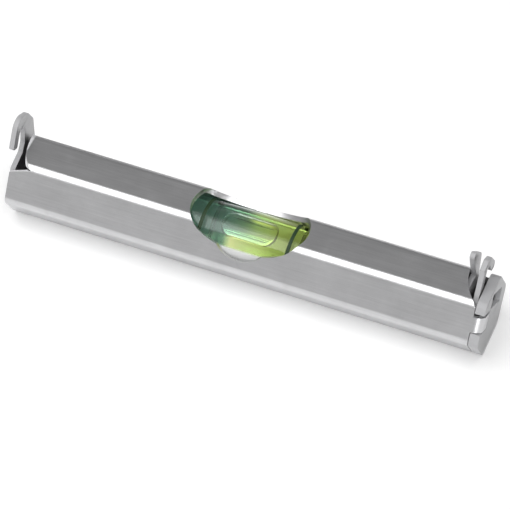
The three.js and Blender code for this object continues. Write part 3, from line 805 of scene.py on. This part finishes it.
class LEVEL_OT_double_hook(bpy.types.Operator):
    """Folds the double hook from one strip, with a blade at each side of the fold"""

    bl_idname = "level.double_hook"
    bl_label = "Double hook"

    def execute(self, context):
        size = context.scene.level_body
        hook = context.scene.level_hooks
        flat = APOTHEM - size.sheet - size.fit
        peak = flat / math.cos(HANG_TURN)

        def slope(front):
            return peak - abs(front) * math.tan(HANG_TURN)

        leaf = [(-flat, -peak / 2, size.inner_corner), (0, -peak, size.inner_corner),
                (flat, -peak / 2, size.inner_corner)]
        outer = hang_outline([(-flat, hook.sill, size.inner_corner)] + leaf + [
            (flat, hook.stem_root, 0),
            (hook.stem_front, peak / 2, 0),
            (hook.stem_front, hook.arm_top - hook.crown, hook.crown / 2),
            (hook.arm_crown_front, hook.arm_top, hook.crown / 2),
            (hook.arm_crown_rear, hook.arm_top, hook.crown),
            (hook.arm_end, hook.arm_end_top, hook.crown / 2),
            (hook.arm_end, hook.arm_end_bottom, hook.tip),
            (hook.arm_end + hook.arm_tip_width, hook.arm_end_bottom, hook.tip),
            (hook.stem_rear - 2 * hook.seat, hook.seat_top, hook.tip),
            (hook.stem_rear, hook.seat_top, hook.tip),
            (hook.stem_rear, hook.sill, hook.tip),
        ])
        inner = hang_outline([(-flat, peak / 2, size.inner_corner)] + leaf + [
            (flat, peak / 2, size.inner_corner),
            (hook.finger_root_front, slope(hook.finger_root_front), 0),
            (hook.finger_front, hook.finger_tip, hook.tip),
            (hook.finger_front - hook.tip, hook.top, hook.crown / 2),
            (hook.finger_shoulder, hook.finger_shoulder_height, hook.crown),
            (hook.finger_root_rear, slope(hook.finger_root_rear), hook.root),
        ])
        outer_x = END_X - size.sheet - hook.cap_standoff
        inner_x = outer_x - hook.blade_spacing
        floor = size.sheet + size.fit
        clip = flat_piece("double_hook", outer, outer_x - size.sheet, outer_x, ACROSS, UPRIGHT)
        combine(clip, flat_piece("blade", inner, inner_x - size.sheet, inner_x, ACROSS, UPRIGHT), "UNION")
        set_on_foot(clip, inner_x, [
            ((inner_x - size.sheet, APOTHEM), 0),
            ((inner_x - size.sheet, floor), hook.bend),
            ((outer_x, floor), hook.bend),
            ((outer_x, APOTHEM), 0),
            ((outer_x - size.sheet, APOTHEM), 0),
            ((outer_x - size.sheet, floor + size.sheet), hook.bend - size.sheet),
            ((inner_x, floor + size.sheet), hook.bend - size.sheet),
            ((inner_x, APOTHEM), 0),
        ])
        finish_piece(clip, "sheared_aluminium", "level", "aluminium", "right_double_hook")
        return {"FINISHED"}


class LEVEL_OT_end_cap(bpy.types.Operator):
    """Hollows the cup of the end cap, and cuts its slot and the notch for the tab"""

    bl_idname = "level.end_cap"
    bl_label = "End cap"

    def execute(self, context):
        size = context.scene.level_body
        hook = context.scene.level_hooks
        mouth = END_X - size.cap_depth
        cap = flat_piece("end_cap", self.hexagon(APOTHEM, size.corner), mouth, END_X, ACROSS, UPRIGHT)
        cut(cap, flat_piece("cut", self.hexagon(APOTHEM - size.sheet, size.inner_corner),
                            mouth - size.overrun, END_X - size.sheet, ACROSS, UPRIGHT))
        floor = size.sheet + size.fit
        cut(cap, slab((-END_X, -FLATS, -size.overrun), (END_X + size.overrun, FLATS, floor)))

        def slot_top(front):
            return RIDGE - (abs(front) * math.sin(HANG_TURN) + hook.slot_margin) / math.cos(HANG_TURN)

        slot = hang_outline([(front, slot_top(front) - drop, hook.slot_corner) for front, drop in (
            (hook.slot_back, hook.slot_height), (hook.slot_front, hook.slot_height),
            (hook.slot_front, 0), (hook.slot_back, 0))])
        cut(cap, flat_piece("cut", slot, END_X - size.sheet - size.overrun, END_X + size.overrun,
                            ACROSS, UPRIGHT))

        # The notch that the body's tab folds into
        near = APOTHEM - size.tab_reach - size.tab_clearance
        far = APOTHEM + size.overrun
        left = mouth - size.overrun
        right = END_X + size.overrun
        half = size.tab_width / 2
        cut(cap, flat_piece("cut", [(left, near), (right, near), (right, far), (left, far)],
                            -half - size.tab_clearance_above, half + size.tab_clearance, ALONG, HANG_FRONT))
        ease(cap, size.rim * PLATE_EASING)
        finish_piece(cap, "sheared_aluminium", "level", "aluminium", "right_end_cap")
        return {"FINISHED"}

    @staticmethod
    def hexagon(apothem, corner):
        """A hexagon as it lies, a flat down, about the level's middle."""
        point = apothem / math.cos(HANG_TURN)
        angles = [i * 2 * HANG_TURN for i in range(HEX_SIDES)]
        return rounded([((math.cos(angle) * point, math.sin(angle) * point + APOTHEM), corner)
                        for angle in angles])


def round_bar(name, half_length, radius, swell, cuts=12):
    """A round bar on the vial's axis, thicker by swell at its middle."""
    bar = cylinder(name, radius, 2 * half_length, VIAL_MIDDLE)
    if not swell:
        return bar
    select_where(bar, "edges", lambda edge: span(bar, edge)[0] > half_length)
    bpy.ops.mesh.subdivide(number_cuts=cuts - 1)
    leave_edit()
    for step in range(cuts + 1):
        distance = half_length * (2 * step / cuts - 1)
        part = 2 * distance / (BARREL_HIGH.x - BARREL_LOW.x)
        factor = (radius + swell * (1 - part * part)) / radius
        select_where(bar, "vertices", lambda vertex: abs(vertex.co.x - VIAL_MIDDLE.x - distance) < RING)
        bpy.ops.transform.resize(value=(1, factor, factor), center_override=VIAL_MIDDLE)
        leave_edit()
    return bar


class LEVEL_OT_vial(bpy.types.Operator):
    """Bores the clear barrel, fills it with liquid and puts the two level lines round it"""

    bl_idname = "level.vial"
    bl_label = "Vial"

    def execute(self, context):
        size = context.scene.level_vial
        half = (BARREL_HIGH.x - BARREL_LOW.x) / 2
        radius = (BARREL_HIGH.z - BARREL_LOW.z) / 2
        bore = size.bore / 2
        barrel = round_bar("clear_barrel", half, radius, 0)
        cut(barrel, round_bar("bore", half + size.rim, bore, size.swell))
        ease(barrel, size.rim, angle=math.radians(50))
        finish_piece(barrel, "clear_acrylic", "level", "vial_acrylic", "vial_barrel")

        filling = round_bar("vial_liquid", half - size.spigot, bore + size.overlap, size.swell)
        ease(filling, 0)
        finish_piece(filling, "vial_liquid", "level", "vial_fluid", "vial_fluid")

        for side in ("left", "right"):
            low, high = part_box("vial_line_" + side)
            line = cylinder("level_line_" + side, radius + size.line_proud, high.x - low.x,
                            ((low.x + high.x) / 2, 0, VIAL_MIDDLE.z), ends="NOTHING")
            apply_modifier(line, "SOLIDIFY", thickness=size.line_proud + size.line_depth, offset=-1)
            ease(line, size.line_proud * LINE_EASING, angle=math.radians(60))
            finish_piece(line, "line_paint", "level", "level_line", "vial_line_" + side)

            coat(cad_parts["vial_plug_" + side], "plug_plastic")
        return {"FINISHED"}


class LEVEL_OT_bubble(bpy.types.Operator):
    """Shapes the bubble: an oval drop, flattened where it lies against the bore, with a rounded rim"""

    bl_idname = "level.bubble"
    bl_label = "Bubble"

    def execute(self, context):
        size = context.scene.level_vial
        top = size.bore / 2 + size.swell - size.film
        half = size.bubble_width / 2
        outline = rounded([
            ((BUBBLE_LOW.x, -half), size.bubble_corner), ((BUBBLE_HIGH.x, -half), size.bubble_corner),
            ((BUBBLE_HIGH.x, half), size.bubble_corner), ((BUBBLE_LOW.x, half), size.bubble_corner)])
        bottom = VIAL_MIDDLE.z + top - size.bubble_depth
        drop = flat_piece("air_bubble", outline, bottom, FLATS, ALONG, ACROSS)
        combine(drop, round_bar("bore", BUBBLE_HIGH.x - BUBBLE_LOW.x, top, 0), "INTERSECT")
        ease(drop, size.bubble_rim, angle=math.radians(30), segments=4)
        finish_piece(drop, "vial_air", "bubble", "vial_bubble", "vial_bubble")
        return {"FINISHED"}


class LEVEL_OT_finishes(bpy.types.Operator):
    """Makes the materials"""

    bl_idname = "level.finishes"
    bl_label = "Finishes"

    def execute(self, context):
        for make in (aluminium, clear_acrylic, liquid, air, paint, plug_plastic):
            make()
        aluminium("sheared_aluminium", sheared=True)
        return {"FINISHED"}


# Lamps: name, which is also the property of its light, then width and height, place and aim, in metres
LAMPS = (
    ("soft_box", (0.62, 0.46), (-0.06, -0.12, 0.5), (-0.06, -0.032, 0)),
    ("left_card", (0.16, 0.12), (-0.42, 0.34, 0.12), (-0.037, 0, 0.0116)),
    ("card", (0.26, 0.16), (0.4, -0.34, 0.05), (0.04, 0, 0.006)),
)
BOUNCES = 24  # of a ray of light, which crosses many surfaces in the vial
SENSOR = 36  # width in millimetres
CLIP = (0.01, 20)  # metres
FLOOR_RADIUS = 3.0  # metres
ROOM_FRONT = ((0.25, 0), (0.8, 1))  # from behind the level to in front of it


class LEVEL_OT_stage(bpy.types.Operator):
    """Sets up the pale floor, the soft light and the camera"""

    bl_idname = "level.stage"
    bl_label = "Stage"

    def execute(self, context):
        stage = context.scene.level_stage
        scene = context.scene
        scene.view_settings.view_transform = "Standard"
        scene.cycles.max_bounces = scene.cycles.transmission_bounces = BOUNCES
        self.camera(stage, scene)
        self.floor(stage)
        self.room(stage, scene)
        for name, size, place, aim in LAMPS:
            self.lamp(name, getattr(stage, name), size, place, aim)
        return {"FINISHED"}

    def camera(self, stage, scene):
        """A camera at the photograph's angle."""
        back = Vector((math.sin(stage.azimuth) * math.cos(stage.elevation),
                       -math.cos(stage.azimuth) * math.cos(stage.elevation), math.sin(stage.elevation)))
        data = bpy.data.cameras.new("camera")
        data.lens = stage.lens
        data.sensor_width = SENSOR
        data.clip_start, data.clip_end = CLIP
        scene.camera = self.put(data, Vector((stage.aim_x, 0, stage.aim_z)) + back * stage.distance, -back)

    def floor(self, stage):
        """A pale floor, lifted towards white for the camera, and less for reflections and through the vial."""
        bpy.ops.mesh.primitive_circle_add(vertices=ROUND_SIDES, radius=FLOOR_RADIUS, fill_type="NGON")
        floor = added("floor")
        nodes = new_material("floor")[0]
        paper = nodes.add("ShaderNodeBsdfDiffuse", {"Color": stage.floor})
        glow = nodes.add("ShaderNodeEmission", {"Color": (1, 1, 1, 1), "Strength": stage.floor_glow})
        seen, shine, through = (nodes.add("ShaderNodeLightPath", output=f"Is {kind} Ray")
                                for kind in ("Camera", "Glossy", "Transmission"))
        dark = nodes.add("ShaderNodeEmission", {"Strength": 0.0})
        lift = nodes.add("ShaderNodeMixShader", {
            0: seen + (shine + through) * stage.floor_shine, 1: dark, 2: glow})
        nodes.end(nodes.add("ShaderNodeAddShader", {0: paper, 1: lift}))
        coat(floor, "floor")

    def room(self, stage, scene):
        """Even light, stronger from the front."""
        scene.world = bpy.data.worlds.new("room")
        nodes = Nodes(scene.world)
        way = nodes.add("ShaderNodeTexCoord", output="Generated")
        front = nodes.ramp(0.5 - nodes.part(way, "Y") * 0.5, *ROOM_FRONT)
        strength = stage.world_back + front * (stage.world - stage.world_back)
        light = nodes.add("ShaderNodeBackground", {"Color": (1, 1, 1, 1), "Strength": strength})
        nodes.end(light, "World")

    def lamp(self, name, radiance, size, place, aim):
        """A soft rectangular light of a given brightness, turned towards aim."""
        data = bpy.data.lights.new(name, "AREA")
        data.shape = "RECTANGLE"
        data.size, data.size_y = size
        data.energy = radiance * math.pi * data.size * data.size_y
        self.put(data, place, Vector(aim) - Vector(place)).visible_camera = False

    def put(self, data, place, way):
        """Adds a camera or a lamp that looks along way."""
        piece = bpy.data.objects.new(data.name, data)
        piece.location = place
        piece.rotation_mode = "QUATERNION"
        piece.rotation_quaternion = way.to_track_quat("-Z", "Y")
        bpy.context.scene.collection.objects.link(piece)
        return piece


class LEVEL_PT_panel(bpy.types.Panel):
    """Lists the level's pieces"""

    bl_idname = "LEVEL_PT_panel"
    bl_label = "Line Level"
    bl_space_type = "VIEW_3D"
    bl_region_type = "UI"
    bl_category = "Line Level"

    def draw(self, context):
        for operator in OPERATORS:
            self.layout.operator(operator.bl_idname)


GROUPS = {
    "level_body": LEVEL_PG_body,
    "level_hooks": LEVEL_PG_hooks,
    "level_vial": LEVEL_PG_vial,
    "level_finish": LEVEL_PG_finish,
    "level_stage": LEVEL_PG_stage,
}
OPERATORS = (
    LEVEL_OT_stage, LEVEL_OT_finishes, LEVEL_OT_body, LEVEL_OT_left_hook, LEVEL_OT_double_hook,
    LEVEL_OT_end_cap, LEVEL_OT_vial, LEVEL_OT_bubble)


def register():
    for name, group in GROUPS.items():
        bpy.utils.register_class(group)
        setattr(bpy.types.Scene, name, PointerProperty(type=group))
    for kind in (*OPERATORS, LEVEL_PT_panel):
        bpy.utils.register_class(kind)


def unregister():
    for kind in (LEVEL_PT_panel, *reversed(OPERATORS)):
        bpy.utils.unregister_class(kind)
    for name, group in reversed(GROUPS.items()):
        delattr(bpy.types.Scene, name)
        bpy.utils.unregister_class(group)


def main():
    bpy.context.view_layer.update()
    register()
    deselect()
    bpy.ops.level.stage()
    bpy.ops.level.finishes()
    bpy.ops.level.body()
    bpy.ops.level.left_hook()
    bpy.ops.level.double_hook()
    bpy.ops.level.end_cap()
    bpy.ops.level.vial()
    bpy.ops.level.bubble()


if __name__ == "__main__":
    main()
